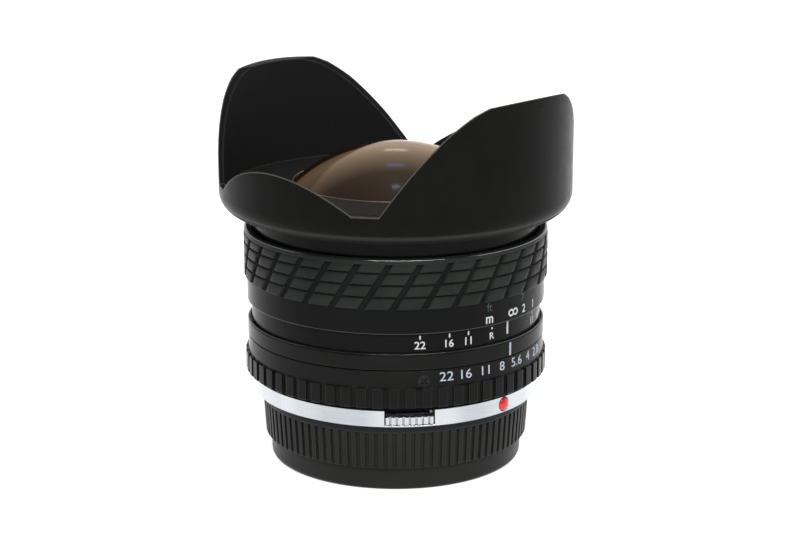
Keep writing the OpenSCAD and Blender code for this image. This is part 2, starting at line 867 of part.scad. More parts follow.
module iris_drive() {
  color([0.55, 0.53, 0.5])
    difference() {
      ring(pivot_r + lever / 2, drive_out, z_drive, z_drive + drive_t);
      for (i = [0 : iris_count - 1])
        rotate([0, 0, i * 360 / iris_count + slot_angle])
          translate([pivot_r + lever - 0.65, -drive_pin_r - 0.12, z_drive - 1])
            cube([1.2, 2 * drive_pin_r + 0.24, 4]);
    }
}

module blade_shape() {
  difference() {
    union() {
      intersection() {
        difference() {
          circle(r = blade_out);
          circle(r = blade_in);
        }
        polygon([[0, 0], [40, -3], [40, 60], [-40, 40]]);
      }
      translate([pivot_r - 3, -1])
        square([3, 2]);
      translate([pivot_r, 0])
        circle(r = 1.1);
      translate([pivot_r, 0])
        rotate(-blade_swing / 2) {
          translate([0, -0.6])
            square([lever, 1.2]);
          translate([lever, 0])
            circle(r = 0.6);
        }
    }
    translate([pivot_r, 0])
      circle(r = post_r + pivot_gap);
  }
}

module iris_blade(i) {
  z = z_blades + i * blade_pitch;
  color([0.16, 0.16, 0.17])
    rotate([0, 0, i * 360 / iris_count])
      translate([pivot_r, 0, z])
        rotate([0, 0, blade_swing * blade_rest]) {
          translate([-pivot_r, 0, 0])
            linear_extrude(height = blade_t)
              blade_shape();
          rotate([0, 0, -blade_swing / 2])
            translate([lever, 0, blade_t / 2])
              cylinder(r = drive_pin_r, h = z_drive + drive_t - z - blade_t / 2 - 0.1);
        }
}

module iris_blade_1() {
  iris_blade(0);
}

module iris_blade_2() {
  iris_blade(1);
}

module iris_blade_3() {
  iris_blade(2);
}

module iris_blade_4() {
  iris_blade(3);
}

module iris_blade_5() {
  iris_blade(4);
}

module iris_blade_6() {
  iris_blade(5);
}

module iris_blade_7() {
  iris_blade(6);
}

rear_cap();
mount_ring();
alignment_bead();
mount_screws();
ring_washer();
rear_mask();
gel_frame();
rear_barrel();
depth_ring();
guide_keys();
click_ball();
release_button();
preview_button();
lock_pin();
aperture_ring();
aperture_screw();
focus_ring();
focus_grip();
stop_screws();
optical_barrel();
hood();
front_ring();
front_glass();
second_glass();
second_ring();
front_cell();
third_glass();
third_ring();
iris_housing();
iris_cover();
iris_drive();
iris_blade_1();
iris_blade_2();
iris_blade_3();
iris_blade_4();
iris_blade_5();
iris_blade_6();
iris_blade_7();
rear_cell();
fourth_glass();
fifth_glass();
rear_spacer();
sixth_glass();
thin_spacer();
rear_glass();
rear_ring();
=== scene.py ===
"""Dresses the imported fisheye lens: finishes, front glass, grip tread, dial marks, light and camera."""
import math

import bmesh
import bpy
from mathutils import Matrix, Vector


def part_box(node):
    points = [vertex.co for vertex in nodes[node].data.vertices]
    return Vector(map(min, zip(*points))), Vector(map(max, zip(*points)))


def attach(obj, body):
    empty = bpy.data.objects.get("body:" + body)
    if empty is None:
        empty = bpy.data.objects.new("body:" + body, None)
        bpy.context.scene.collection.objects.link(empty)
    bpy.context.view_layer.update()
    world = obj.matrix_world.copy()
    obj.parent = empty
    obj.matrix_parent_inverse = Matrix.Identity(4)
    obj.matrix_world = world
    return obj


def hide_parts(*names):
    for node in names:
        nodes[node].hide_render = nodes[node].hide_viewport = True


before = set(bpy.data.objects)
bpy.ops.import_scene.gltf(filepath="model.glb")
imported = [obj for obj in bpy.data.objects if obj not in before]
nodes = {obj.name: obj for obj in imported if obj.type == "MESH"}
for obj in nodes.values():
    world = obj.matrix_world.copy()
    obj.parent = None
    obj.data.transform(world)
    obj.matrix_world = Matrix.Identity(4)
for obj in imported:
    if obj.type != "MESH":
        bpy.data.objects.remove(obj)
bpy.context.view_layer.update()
scene = bpy.context.scene
MM = 0.001


# Sizes that come from the frame, in millimetres

class Ring:
    """Outer radius, foot and top of a round node."""

    def __init__(self, name):
        low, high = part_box(name)
        self.radius = high.x / MM
        self.foot = low.z / MM
        self.top = high.z / MM


HOOD = Ring("hood")
GLASS = Ring("front_glass")
SEAT = Ring("front_ring")
FOCUS = Ring("focus_ring")
GRIP = Ring("focus_grip")
DEPTH = Ring("depth_ring")
BARREL = Ring("rear_barrel")
APERTURE = Ring("aperture_ring")
# A point this close to a circle, a plane or a sphere counts as on it
NEAR = 0.02


# Finishes

class Wiring:
    """The shader nodes of one tree: it adds them, joins them and keeps the shader at hand."""

    def __init__(self, tree, shader):
        self.tree = tree
        self.shader = tree.nodes[shader]

    def fill(self, made, values):
        """Sets sockets by name, with spaces for underscores, and anything else as a property."""
        for key, value in values.items():
            socket = key.replace("_", " ")
            if socket in made.inputs:
                made.inputs[socket].default_value = value
            else:
                setattr(made, key, value)

    def add(self, kind, **values):
        """A new shader node with these sockets and properties."""
        made = self.tree.nodes.new("ShaderNode" + kind)
        self.fill(made, values)
        return made

    def join(self, output, socket):
        """Joins an output to a socket, or to the shader's socket of that name."""
        self.tree.links.new(output, self.shader.inputs[socket] if isinstance(socket, str) else socket)

    def reckon(self, operation, *values):
        """The result of a sum on numbers and outputs."""
        made = self.add("Math", operation=operation)
        for value, socket in zip(values, made.inputs):
            if isinstance(value, (int, float)):
                socket.default_value = value
            else:
                self.join(value, socket)
        return made.outputs["Value"]

    def spread(self, amount, low, high, start=0.3, stop=0.7):
        """Takes an amount from start to stop onto low to high."""
        ranged = self.add("MapRange", From_Min=start, From_Max=stop, To_Min=low, To_Max=high)
        self.join(amount, ranged.inputs["Value"])
        return ranged.outputs["Result"]


class Finish(Wiring):
    """A material being put together."""

    # Cosine between the rounded and the flat normal where a paler edge, partly wear and partly a painted
    # highlight, starts and where it is full
    EDGE_STARTS, EDGE_FULL = 0.97, 0.8
    # Random tone of a cell from which it has a speck
    SPECK_FROM, SPECK_SURE = 0.62, 0.66
    # Share of the surroundings that is open deep in a groove and on a free face
    GROOVE_OPEN, FACE_OPEN = 0.35, 0.9

    def __init__(self, name, **sockets):
        self.material = bpy.data.materials.new(name)
        self.material.use_nodes = True
        super().__init__(self.material.node_tree, "Principled BSDF")
        self.fill(self.shader, sockets)
        self.place = self.add("TexCoord").outputs["Object"]

    def stretched(self, scale):
        """Object coordinates stretched by three factors."""
        mapping = self.add("Mapping", Scale=scale)
        self.join(self.place, mapping.inputs["Vector"])
        return mapping.outputs["Vector"]

    def noise(self, scale, detail=2.0, place=None):
        """Cloudy noise with about scale patches to the metre."""
        cloud = self.add("TexNoise", Scale=scale, Detail=detail)
        self.join(place or self.place, cloud.inputs["Vector"])
        return cloud.outputs["Fac"]

    def blend(self, amount, first, second):
        """A colour between two, each given as three numbers or as an output."""
        mix = self.add("Mix", data_type="RGBA")
        self.join(amount, mix.inputs[0])
        for colour, socket in ((first, mix.inputs[6]), (second, mix.inputs[7])):
            if isinstance(colour, tuple):
                socket.default_value = (*colour, 1.0)
            else:
                self.join(colour, socket)
        return mix.outputs[2]

    def edge(self, radius):
        """The normal with edges rounded to a radius, and how far a point is round an edge."""
        rounded = self.add("Bevel", Radius=radius, samples=6)
        flat = self.add("NewGeometry")
        meet = self.add("VectorMath", operation="DOT_PRODUCT")
        self.join(rounded.outputs["Normal"], meet.inputs[0])
        self.join(flat.outputs["Normal"], meet.inputs[1])
        edge_wear_and_light = self.spread(meet.outputs["Value"], 0.0, 1.0, self.EDGE_STARTS, self.EDGE_FULL)
        return rounded.outputs["Normal"], edge_wear_and_light

    def specks(self, scale, size):
        """Sparse round specks in the cells of a scattered pattern, size being a share of a cell."""
        cells = self.add("TexVoronoi", Scale=scale)
        self.join(self.place, cells.inputs["Vector"])
        near = self.spread(cells.outputs["Distance"], 1.0, 0.0, 0.6 * size, size)
        chosen = self.spread(cells.outputs["Color"], 0.0, 1.0, self.SPECK_FROM, self.SPECK_SURE)
        return self.reckon("MULTIPLY", near, chosen)

    def from_axis(self):
        """Distance from the lens axis."""
        length = self.add("VectorMath", operation="LENGTH")
        self.join(self.stretched((1, 1, 0)), length.inputs[0])
        return length.outputs["Value"]

    def near_height(self, height, reach):
        """1 at a height over the floor, falling to 0 at a reach above and below it."""
        apart = self.add("SeparateXYZ")
        self.join(self.place, apart.inputs["Vector"])
        away = self.reckon("ABSOLUTE", self.reckon("SUBTRACT", apart.outputs["Z"], height))
        return self.spread(away, 1.0, 0.0, 0.2 * reach, reach)

    def crevice_shade(self, reach, alone=True):
        """How deep a point lies in a groove, of its own piece alone or not, from 0 in the open to 1: the mask
        of painted shade.
        """
        shut = self.add("AmbientOcclusion", Distance=reach, samples=4, only_local=alone)
        return self.spread(shut.outputs["AO"], 1.0, 0.0, self.GROOVE_OPEN, self.FACE_OPEN)

    def rough(self, height, strength, depth, under=None):
        """Bump from a height, over a rounded normal where one is given."""
        bump = self.add("Bump", Strength=strength, Distance=depth)
        self.join(height, bump.inputs["Height"])
        if under:
            self.join(under, bump.inputs["Normal"])
        self.join(bump.outputs["Normal"], "Normal")


# Patches to the metre of the clouds, of the uneven shine and of the dust on the coats
CLOUDS = 110
SHINE_PATCHES = 420
DUST_CELLS = 300
# Millimetres over which the colour of an inside fades out
INSIDE_FADES = 0.1
DUST_GREY = (0.16, 0.16, 0.15)
POLISHED_EDGE = (0.93, 0.93, 0.94)


def dimmed(colour, share):
    """A share of a colour."""
    return tuple(share * part for part in colour)


def black_coat(name, dark, pale, edge_wear_and_light, gloss, grain, depth, rounding=0.25, level=0.1, bend=1.5, dust=0.0,
               inside=None, shade_reach=0.0, rubbed=None):
    """Black paint, plastic or rubber: faint clouds, fine grain and paler edges that are partly wear and
    partly a painted highlight.

    Where asked, it has dust, another colour and a duller face within a radius, painted shade in grooves of a
    given reach, or a painted highlight band at a height.
    """
    coat = Finish(name, Specular_IOR_Level=level, IOR=bend)
    normal, rim = coat.edge(rounding * MM)
    clouds = coat.spread(coat.noise(CLOUDS, detail=4), 0.0, 1.0)
    colour = coat.blend(clouds, dark, pale)
    shine = coat.spread(coat.noise(SHINE_PATCHES, detail=3), *gloss)
    if inside:
        within, radius, dull = inside
        inner = coat.spread(coat.from_axis(), 1.0, 0.0, (radius - INSIDE_FADES) * MM, radius * MM)
        colour = coat.blend(inner, colour, within)
        shine = coat.reckon("MULTIPLY_ADD", inner, dull, shine)
    # Paler edges: partly wear, partly a painted highlight
    colour = coat.blend(rim, colour, edge_wear_and_light)
    # Painted highlight: a paler band at a height, used along the hood's rounded foot
    if rubbed:
        tone, height, reach = rubbed
        colour = coat.blend(coat.near_height(height * MM, reach * MM), colour, tone)
    # Painted shade: darker deep in grooves, from occlusion
    if shade_reach:
        colour = coat.blend(coat.crevice_shade(shade_reach * MM), colour, dimmed(dark, 0.25))
    if dust:
        colour = coat.blend(coat.specks(DUST_CELLS, dust), colour, DUST_GREY)
    coat.join(colour, "Base Color")
    coat.join(shine, "Roughness")
    coat.rough(coat.noise(grain), strength=0.35, depth=depth * MM, under=normal)
    return coat.material


def grooved_coat(name, dark, pale, edge_wear_and_light, gloss, pitch, depth, rounding, level):
    """Black paint over fine lathe grooves that run round the lens axis."""
    coat = Finish(name, Specular_IOR_Level=level)
    normal, rim = coat.edge(rounding * MM)
    # The rings of this texture lie pi / (10 * scale) apart
    groove = coat.add("TexWave", wave_type="RINGS", rings_direction="Z", Scale=math.pi / (10 * pitch * MM),
                      Distortion=0.0)
    coat.join(coat.place, groove.inputs["Vector"])
    ridge = coat.spread(groove.outputs["Fac"], 0.0, 1.0, start=0.2, stop=0.8)
    # Paler edges: partly wear, partly a painted highlight
    coat.join(coat.blend(rim, coat.blend(ridge, dark, pale), edge_wear_and_light), "Base Color")
    coat.join(coat.spread(coat.noise(SHINE_PATCHES, detail=3), *gloss), "Roughness")
    coat.rough(ridge, strength=0.6, depth=depth * MM, under=normal)
    return coat.material


def turned_metal(name, dark, pale, gloss, lines, rounding=0.1, brushed=0.5, shade_reach=0.0):
    """Metal with fine lines round the lens axis, as a lathe leaves them, and painted shade in gaps of a given
    reach.
    """
    metal = Finish(name, Metallic=1.0, Anisotropic=brushed, Anisotropic_Rotation=0.25)
    round_axis = metal.add("Tangent", direction_type="RADIAL", axis="Z")
    metal.join(round_axis.outputs["Tangent"], "Tangent")
    normal, rim = metal.edge(rounding * MM)
    strokes = metal.noise(1.0, detail=3, place=metal.stretched((160, 160, lines)))
    patches = metal.noise(1.0, place=metal.stretched((48, 48, 5)))
    smudges = metal.spread(patches, 0.0, 1.0, start=0.35, stop=0.65)
    streaked = metal.blend(metal.spread(strokes, 0.0, 0.25), metal.blend(smudges, dark, pale), pale)
    colour = metal.blend(rim, streaked, POLISHED_EDGE)
    # Painted shade: darker deep in gaps, from occlusion
    if shade_reach:
        colour = metal.blend(metal.crevice_shade(shade_reach * MM), colour, dimmed(dark, 0.3))
    metal.join(colour, "Base Color")
    metal.join(metal.spread(strokes, *gloss), "Roughness")
    metal.rough(strokes, strength=0.06, depth=0.004 * MM, under=normal)
    return metal.material


def red_lacquer(name, dark, pale, shaded):
    """Deep red paint under a clear coat, with painted shade close to what it sits in."""
    paint = Finish(name, Roughness=0.35, Specular_IOR_Level=0.2, Coat_Weight=1.0, Coat_Roughness=0.16)
    red = paint.blend(paint.spread(paint.noise(900), 0.0, 1.0), dark, pale)
    paint.join(paint.blend(paint.crevice_shade(1.2 * MM, alone=False), red, shaded), "Base Color")
    paint.rough(paint.noise(2600, detail=1), strength=0.1, depth=0.01 * MM)
    return paint.material


def coated_glass(name, tint, body, bend, gloss=(0.008, 0.018), veil=None, coat=None):
    """Glass whose coating colours what it reflects.

    A veil closes it from straight on to a slant, with painted colour in place of the view inside: its deep
    colour, painted shade of the dark inside, and at a slant a brown painted reflection of light inside the
    lens. A coat over it has a tint, its own bend and its own roughness.
    """
    glass = Finish(name, Transmission_Weight=1.0, IOR=bend, Specular_Tint=(*tint, 1.0))
    shine = glass.spread(glass.noise(300, detail=3), *gloss)
    clouds = glass.spread(glass.noise(60), 0.0, 1.0)
    colour = glass.blend(clouds, body, dimmed(body, 0.9))
    if veil:
        deep, brown = veil
        slant = glass.add("LayerWeight", Blend=0.5).outputs["Facing"]
        closed = glass.spread(slant, 0.0, 1.0, start=0.02, stop=0.13)
        # Painted reflection: at a slant the closed glass turns brown, standing for light reflected inside the
        # lens
        inner_reflection_rises = glass.spread(slant, 0.0, 1.0, start=0.39, stop=0.67)
        inner_reflection_ends = glass.spread(slant, 1.0, 0.0, start=0.76, stop=0.785)
        glow = glass.reckon("MULTIPLY", inner_reflection_rises, inner_reflection_ends)
        colour = glass.blend(closed, colour, glass.blend(glow, deep, brown))
        shine = glass.reckon("MULTIPLY", closed, shine)
        glass.join(glass.spread(closed, 1.0, 0.0, start=0.0, stop=1.0), "Transmission Weight")
    if coat:
        cast, thin, sheen = coat
        glass.fill(glass.shader, {"Coat_Weight": 1.0, "Coat_Tint": (*cast, 1.0), "Coat_IOR": thin,
                                  "Coat_Roughness": sheen})
    glass.join(colour, "Base Color")
    glass.join(shine, "Roughness")
    return glass.material


def mark_paint(name, dark, pale):
    """Paint pressed into an engraved figure, a little uneven."""
    fill = Finish(name, Roughness=0.55, Specular_IOR_Level=0.3)
    fill.join(fill.blend(fill.spread(fill.noise(1500, detail=3), 0.0, 1.0), dark, pale), "Base Color")
    fill.rough(fill.noise(5000), strength=0.2, depth=0.01 * MM)
    return fill.material


hood_satin = black_coat(
    "hood_satin_black", dark=(0.005, 0.005, 0.0046), pale=(0.0075, 0.0075, 0.0068), edge_wear_and_light=(0.17, 0.17, 0.155),
    gloss=(0.24, 0.32), grain=7000, depth=0.008, rounding=0.45, level=0.055, dust=0.03,
    inside=((0.016, 0.015, 0.015), HOOD.radius - 0.75, 0.35),
    rubbed=((0.044, 0.043, 0.040), HOOD.foot + 1.6, 0.7))
barrel_satin = black_coat(
    "barrel_satin_black", dark=(0.0045, 0.0045, 0.0044), pale=(0.007, 0.007, 0.0068),
    edge_wear_and_light=(0.045, 0.045, 0.046), gloss=(0.14, 0.22), grain=9000, depth=0.004, level=0.07)
band_satin = black_coat(
    "band_satin_black", dark=(0.0085, 0.0085, 0.008), pale=(0.012, 0.012, 0.0115), edge_wear_and_light=(0.060, 0.060, 0.058),
    gloss=(0.14, 0.22), grain=9000, depth=0.004, level=0.08, shade_reach=0.9)
grip_rubber = black_coat(
    "grip_tread_rubber", dark=(0.022, 0.024, 0.0225), pale=(0.034, 0.037, 0.034), edge_wear_and_light=(0.12, 0.123, 0.125),
    gloss=(0.28, 0.40), grain=6000, depth=0.010, rounding=0.12, level=0.05)
# A darker copy of the tread rubber for the groove floors and the steps: painted shade
groove_shaded_rubber = black_coat(
    "grip_groove_rubber_painted_shade", dark=(0.011, 0.012, 0.0115), pale=(0.0155, 0.017, 0.016), edge_wear_and_light=(0.02, 0.021, 0.02),
    gloss=(0.45, 0.6), grain=6000, depth=0.010, rounding=0.1, level=0.05)
cap_plastic = black_coat(
    "cap_moulded_black", dark=(0.021, 0.021, 0.020), pale=(0.029, 0.029, 0.028), edge_wear_and_light=(0.075, 0.075, 0.073),
    gloss=(0.30, 0.40), grain=5000, depth=0.015, level=0.09, dust=0.03, shade_reach=0.5)
inner_black = black_coat(
    "inside_flat_black", dark=(0.006, 0.006, 0.006), pale=(0.009, 0.009, 0.009), edge_wear_and_light=(0.01, 0.01, 0.01),
    gloss=(0.75, 0.9), grain=6000, depth=0.01, level=0.03)
# Paler than the other blacks: painted light that lifts the shaded gap under the lip
gap_lifted_black = black_coat(
    "gap_dull_black_painted_light", dark=(0.028, 0.028, 0.028), pale=(0.036, 0.036, 0.036), edge_wear_and_light=(0.04, 0.04, 0.04),
    gloss=(0.6, 0.8), grain=6000, depth=0.01, level=0.03)
lip_gloss = black_coat(
    "lip_black_gloss", dark=(0.018, 0.018, 0.02), pale=(0.026, 0.026, 0.029), edge_wear_and_light=(0.04, 0.04, 0.043),
    gloss=(0.07, 0.10), grain=6000, depth=0.001, rounding=0.02, level=1.0, bend=1.9)
# Its edge colour is darker than its face: painted shade round the rim of the head
screw_black = black_coat(
    "screw_blackened", dark=(0.020, 0.020, 0.019), pale=(0.031, 0.031, 0.030), edge_wear_and_light=(0.003, 0.003, 0.003),
    gloss=(0.3, 0.4), grain=6000, depth=0.006, rounding=0.15, level=0.12)
ring_grey = grooved_coat(
    "front_ring_grey", dark=(0.009, 0.009, 0.0075), pale=(0.037, 0.034, 0.028), edge_wear_and_light=(0.12, 0.11, 0.09),
    gloss=(0.40, 0.50), pitch=0.55, depth=0.05, rounding=0.15, level=0.025)
mount_chrome = turned_metal(
    "mount_brushed_chrome", dark=(0.42, 0.46, 0.50), pale=(0.78, 0.79, 0.81), gloss=(0.24, 0.30), lines=9000,
    rounding=0.2)
button_chrome = turned_metal(
    "button_satin_chrome", dark=(0.48, 0.48, 0.52), pale=(0.69, 0.69, 0.735), gloss=(0.22, 0.32), lines=5000,
    brushed=0.2, shade_reach=0.5)
edge_gloss = turned_metal(
    "edge_dark_gloss", dark=(0.10, 0.10, 0.11), pale=(0.14, 0.14, 0.155), gloss=(0.15, 0.2), lines=6000,
    rounding=0.02, brushed=0.0)
seat_tan = turned_metal(
    "seat_rubbed_tan", dark=(0.20, 0.17, 0.12), pale=(0.34, 0.30, 0.22), gloss=(0.35, 0.5), lines=6000,
    rounding=0.02)
screw_steel = turned_metal(
    "screw_plain_steel", dark=(0.48, 0.48, 0.50), pale=(0.60, 0.60, 0.62), gloss=(0.28, 0.4), lines=6000)
blade_steel = turned_metal(
    "blade_dark_steel", dark=(0.10, 0.10, 0.11), pale=(0.16, 0.16, 0.17), gloss=(0.4, 0.5), lines=4000)
key_brass = turned_metal(
    "key_plain_brass", dark=(0.62, 0.44, 0.16), pale=(0.74, 0.55, 0.24), gloss=(0.26, 0.38), lines=6000)
bead_red = red_lacquer(
    "bead_red_lacquer", dark=(0.84, 0.018, 0.016), pale=(0.94, 0.032, 0.029), shaded=(0.22, 0.004, 0.006))
front_glass = coated_glass(
    "front_glass_amber_coat", tint=(1.0, 1.0, 1.0), body=(0.80, 0.80, 0.80), bend=1.30, gloss=(0.15, 0.18),
    veil=((0.014, 0.012, 0.010), (0.21, 0.22, 0.235)), coat=((0.95, 0.715, 0.51), 1.15, 0.11))
hollow_glass = coated_glass(
    "front_glass_violet_coat", tint=(0.30, 0.35, 1.0), body=(0.60, 0.55, 0.60), bend=1.5)
inner_glass = coated_glass("inner_glass_coat", tint=(0.70, 0.45, 0.85), body=(0.94, 0.95, 0.94), bend=1.5)
white_fill = mark_paint("figure_white_fill", dark=(0.68, 0.70, 0.72), pale=(0.84, 0.86, 0.87))
blue_fill = mark_paint("figure_blue_white_fill", dark=(0.52, 0.58, 0.68), pale=(0.66, 0.72, 0.82))
green_fill = mark_paint("figure_dim_green_fill", dark=(0.05, 0.075, 0.06), pale=(0.07, 0.10, 0.08))

SLOT_FINISH = {
    "cap_plastic": cap_plastic, "mount_chrome": mount_chrome, "bead_red": bead_red,
    "screw_steel": screw_steel, "inner_black": inner_black, "barrel_paint": barrel_satin,
    "key_brass": key_brass, "button_chrome": button_chrome, "grip_rubber": grip_rubber,
    "hood_paint": hood_satin, "ring_grey": ring_grey, "front_coated": front_glass,
    "inner_glass": inner_glass, "blade_steel": blade_steel,
}
for piece in nodes.values():
    for slot in piece.material_slots:
        slot.material = SLOT_FINISH[slot.material.name.split(".")[0]]
for name in ("aperture_ring", "rear_barrel"):
    nodes[name].material_slots[0].material = band_satin
nodes["aperture_screw"].material_slots[0].material = screw_black


# Pieces made here: shapes are drawn in millimetres and shrunk to metres at the end

def place_object(name, shape, *finishes):
    """Makes an object of a finished shape and sets it in the scene."""
    mesh = bpy.data.meshes.new(name)
    shape.to_mesh(mesh)
    shape.free()
    for finish in finishes:
        mesh.materials.append(finish)
    made = bpy.data.objects.new(name, mesh)
    scene.collection.objects.link(made)
    return made


def new_piece(name, body, shape, *finishes):
    """Makes a piece of a finished shape and lets it ride on a body."""
    piece = place_object(name, shape, *finishes)
    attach(piece, body)
    return piece


def turn_round(shape, steps):
    """Turns an open or closed profile in the xz plane once round the lens axis."""
    bmesh.ops.spin(shape, geom=shape.verts[:] + shape.edges[:], axis=(0, 0, 1), cent=(0, 0, 0),
                   angle=2 * math.pi, steps=steps, use_merge=True)
    bmesh.ops.remove_doubles(shape, verts=shape.verts, dist=1e-4)
    bmesh.ops.recalc_face_normals(shape, faces=shape.faces)


def turned_ring(profile, steps):
    """A ring whose cross-section is a closed row of (radius, height) points."""
    shape = bmesh.new()
    points = [shape.verts.new((radius, 0, z)) for radius, z in profile]
    for first, second in zip(points, points[1:] + points[:1]):
        shape.edges.new((first, second))
    turn_round(shape, steps)
    return shape


def edge_loop(shape, radius, z):
    """The edges of a turned shape that lie on one circle."""
    return [e for e in shape.edges
            if all(abs(v.co.z - z) < NEAR and abs(v.co.xy.length - radius) < NEAR for v in e.verts)]


def round_edges(shape, edges, radius, segments):
    """Rounds some edges of a shape."""
    bmesh.ops.bevel(shape, geom=edges, offset=radius, offset_type="OFFSET", segments=segments, profile=0.5,
                    affect="EDGES", material=-1)


def soften(shape, sharp):
    """Smooth shading with edges above an angle in degrees kept crisp."""
    for face in shape.faces:
        face.smooth = True
    for edge in shape.edges:
        edge.smooth = len(edge.link_faces) == 2 and edge.calc_face_angle() < math.radians(sharp)


def to_metres(shape):
    """Shrinks a shape drawn in millimetres."""
    bmesh.ops.scale(shape, verts=shape.verts, vec=(MM, MM, MM))


def bend_round(shape, turn, height, radius_at):
    """Bends a flat mark round the lens axis at a turn and a height, and shrinks it to metres."""
    for v in shape.verts:
        z = height + v.co.y
        at = radius_at(z)
        angle = math.radians(turn) + v.co.x / at
        out = at + v.co.z
        v.co = Vector((out * math.sin(angle), -out * math.cos(angle), z)) * MM


def plain(radius):
    """A straight ring of one radius."""
    return lambda z: radius


def add_shape(whole, shape):
    """Adds one shape to another and lets it go."""
    part = bpy.data.meshes.new("part")
    shape.to_mesh(part)
    shape.free()
    whole.from_mesh(part)
    bpy.data.meshes.remove(part)


# Front glass: a dome over a hollow, each a part of a sphere

HOLLOW_FINISH = 1
EDGE_FINISH = 2
DOME_R = 32.0
GLASS_THICK = 2.2
HOLLOW_R = 15.5125
HOLLOW_MOUTH = 14.5


def front_element():
    """The bulging front glass, with a blackened edge and seat."""
    hollow_top = GLASS.top - GLASS_THICK
    hollow_middle = Vector((0, 0, hollow_top - HOLLOW_R))
    shape = bmesh.new()
    apex = shape.verts.new((0, 0, GLASS.top))
    hollow = shape.verts.new((0, 0, hollow_top))
    rim = bmesh.ops.spin(shape, geom=[apex], axis=(0, 1, 0), cent=(0, 0, GLASS.top - DOME_R),
                         angle=math.asin(GLASS.radius / DOME_R), steps=40)["geom_last"][0]
    lip = bmesh.ops.spin(shape, geom=[hollow], axis=(0, 1, 0), cent=hollow_middle,
                         angle=math.asin(HOLLOW_MOUTH / HOLLOW_R), steps=36)["geom_last"][0]
    foot = shape.verts.new((GLASS.radius, 0, GLASS.foot))
    shape.edges.new((rim, foot))
    shape.edges.new((foot, lip))
    turn_round(shape, steps=144)
    for face in shape.faces:
        middle = face.calc_center_median()
        if middle.z < GLASS.foot + NEAR or middle.xy.length > GLASS.radius - NEAR:
            face.material_index = EDGE_FINISH
        elif (middle - hollow_middle).length < HOLLOW_R + NEAR:
            face.material_index = HOLLOW_FINISH
    soften(shape, sharp=30)
    to_metres(shape)
    return shape


# Thin rounded edges

DISTANCE_R = FOCUS.radius - 0.5
# Radius and height of an arc's middle, its thickness, its first and last slope in degrees
SEAT_ARC = (GLASS.radius - 0.64, SEAT.top - 0.08, 0.14, 20, 180)
BAND_ARC = (BARREL.radius - 0.11, DEPTH.foot - 0.11, 0.11, 0, 95)
DISTANCE_ARC = (DISTANCE_R - 0.1, FOCUS.foot + 0.1, 0.1, -90, 5)
LIP_ARC = (FOCUS.radius - 0.26, FOCUS.top - 0.25, 0.293, 8, 158)


def crest(radius, z, thick, first, last):
    """A thin rounded edge: an arc from one slope to another, turned round the lens axis."""
    shape = bmesh.new()
    out, up = math.cos(math.radians(first)), math.sin(math.radians(first))
    start = shape.verts.new((radius + thick * out, 0, z + thick * up))
    bmesh.ops.spin(shape, geom=[start], axis=(0, 1, 0), cent=(radius, 0, z),
                   angle=math.radians(first - last), steps=10)
    turn_round(shape, steps=192)
    soften(shape, sharp=60)
    to_metres(shape)
    return shape


new_piece("seat_edge", "optics", crest(*SEAT_ARC), seat_tan)
new_piece("band_edge", "barrel", crest(*BAND_ARC), edge_gloss)
new_piece("distance_edge", "focus_ring", crest(*DISTANCE_ARC), edge_gloss)
glass = new_piece("front_element", "optics", front_element(), front_glass, hollow_glass, inner_black)
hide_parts("front_glass")


# Focus grip: four rows of leaning rubber tiles on a sleeve, under a smooth collar and a thin gloss lip

SLEEVE_INSIDE = GRIP.radius - 0.9
SLEEVE_R = GRIP.radius - 0.7
STEP_R = GRIP.radius - 0.4
STEP_FOOT = GRIP.foot + 0.1
COLLAR_R = GRIP.radius - 0.06
COLLAR_FOOT = FOCUS.top - 1.0
COLLAR_TOP = FOCUS.top - 0.17
COLLAR_ROUNDING = 0.12
ROWS = 4
ROW_GAP = 0.4
ROW_PITCH = 2.435
FIRST_CUT = GRIP.foot + 2.44
ROW_CUTS = [FIRST_CUT + ROW_PITCH * cut for cut in range(ROWS - 1)]
ROW_FEET = [GRIP.foot] + [cut + ROW_GAP / 2 for cut in ROW_CUTS]
ROW_HEADS = [cut - ROW_GAP / 2 for cut in ROW_CUTS] + [COLLAR_FOOT]
TILE_COLUMNS = 32
TILE_WIDE = 4.73
TILE_ROUNDING = 0.22
STEP_ROUNDING = 0.05
TILE_SUNK = 0.05
TILE_LEAN = math.tan(math.radians(31))
TILE_TURN = 2.0
GRIP_MIDDLE = (GRIP.foot + FOCUS.top) / 2


def leaning_block(low, high, foot, top, rounding):
    """A flat leaning block with rounded top edges: x along the ring, y up from the grip's middle, z out."""
    shape = bmesh.new()
    bmesh.ops.create_cube(shape, size=1.0)
    bmesh.ops.scale(shape, verts=shape.verts, vec=(TILE_WIDE, high - low, top - foot))
    bmesh.ops.translate(shape, verts=shape.verts, vec=(0, (low + high) / 2 - GRIP_MIDDLE, (top - foot) / 2))
    level = [e for e in shape.edges if abs(e.verts[0].co.x - e.verts[1].co.x) > TILE_WIDE / 2]
    bmesh.ops.subdivide_edges(shape, edges=level, cuts=3)
    bmesh.ops.delete(shape, geom=[f for f in shape.faces if f.normal.z < -0.9], context="FACES_ONLY")
    shape.normal_update()
    corners = [e for e in shape.edges if len(e.link_faces) == 2 and e.calc_face_angle() > math.radians(45)]
    round_edges(shape, corners, rounding, segments=2)
    shear = Matrix.Identity(4)
    shear[0][1] = TILE_LEAN
    bmesh.ops.transform(shape, matrix=shear, verts=shape.verts)
    return shape


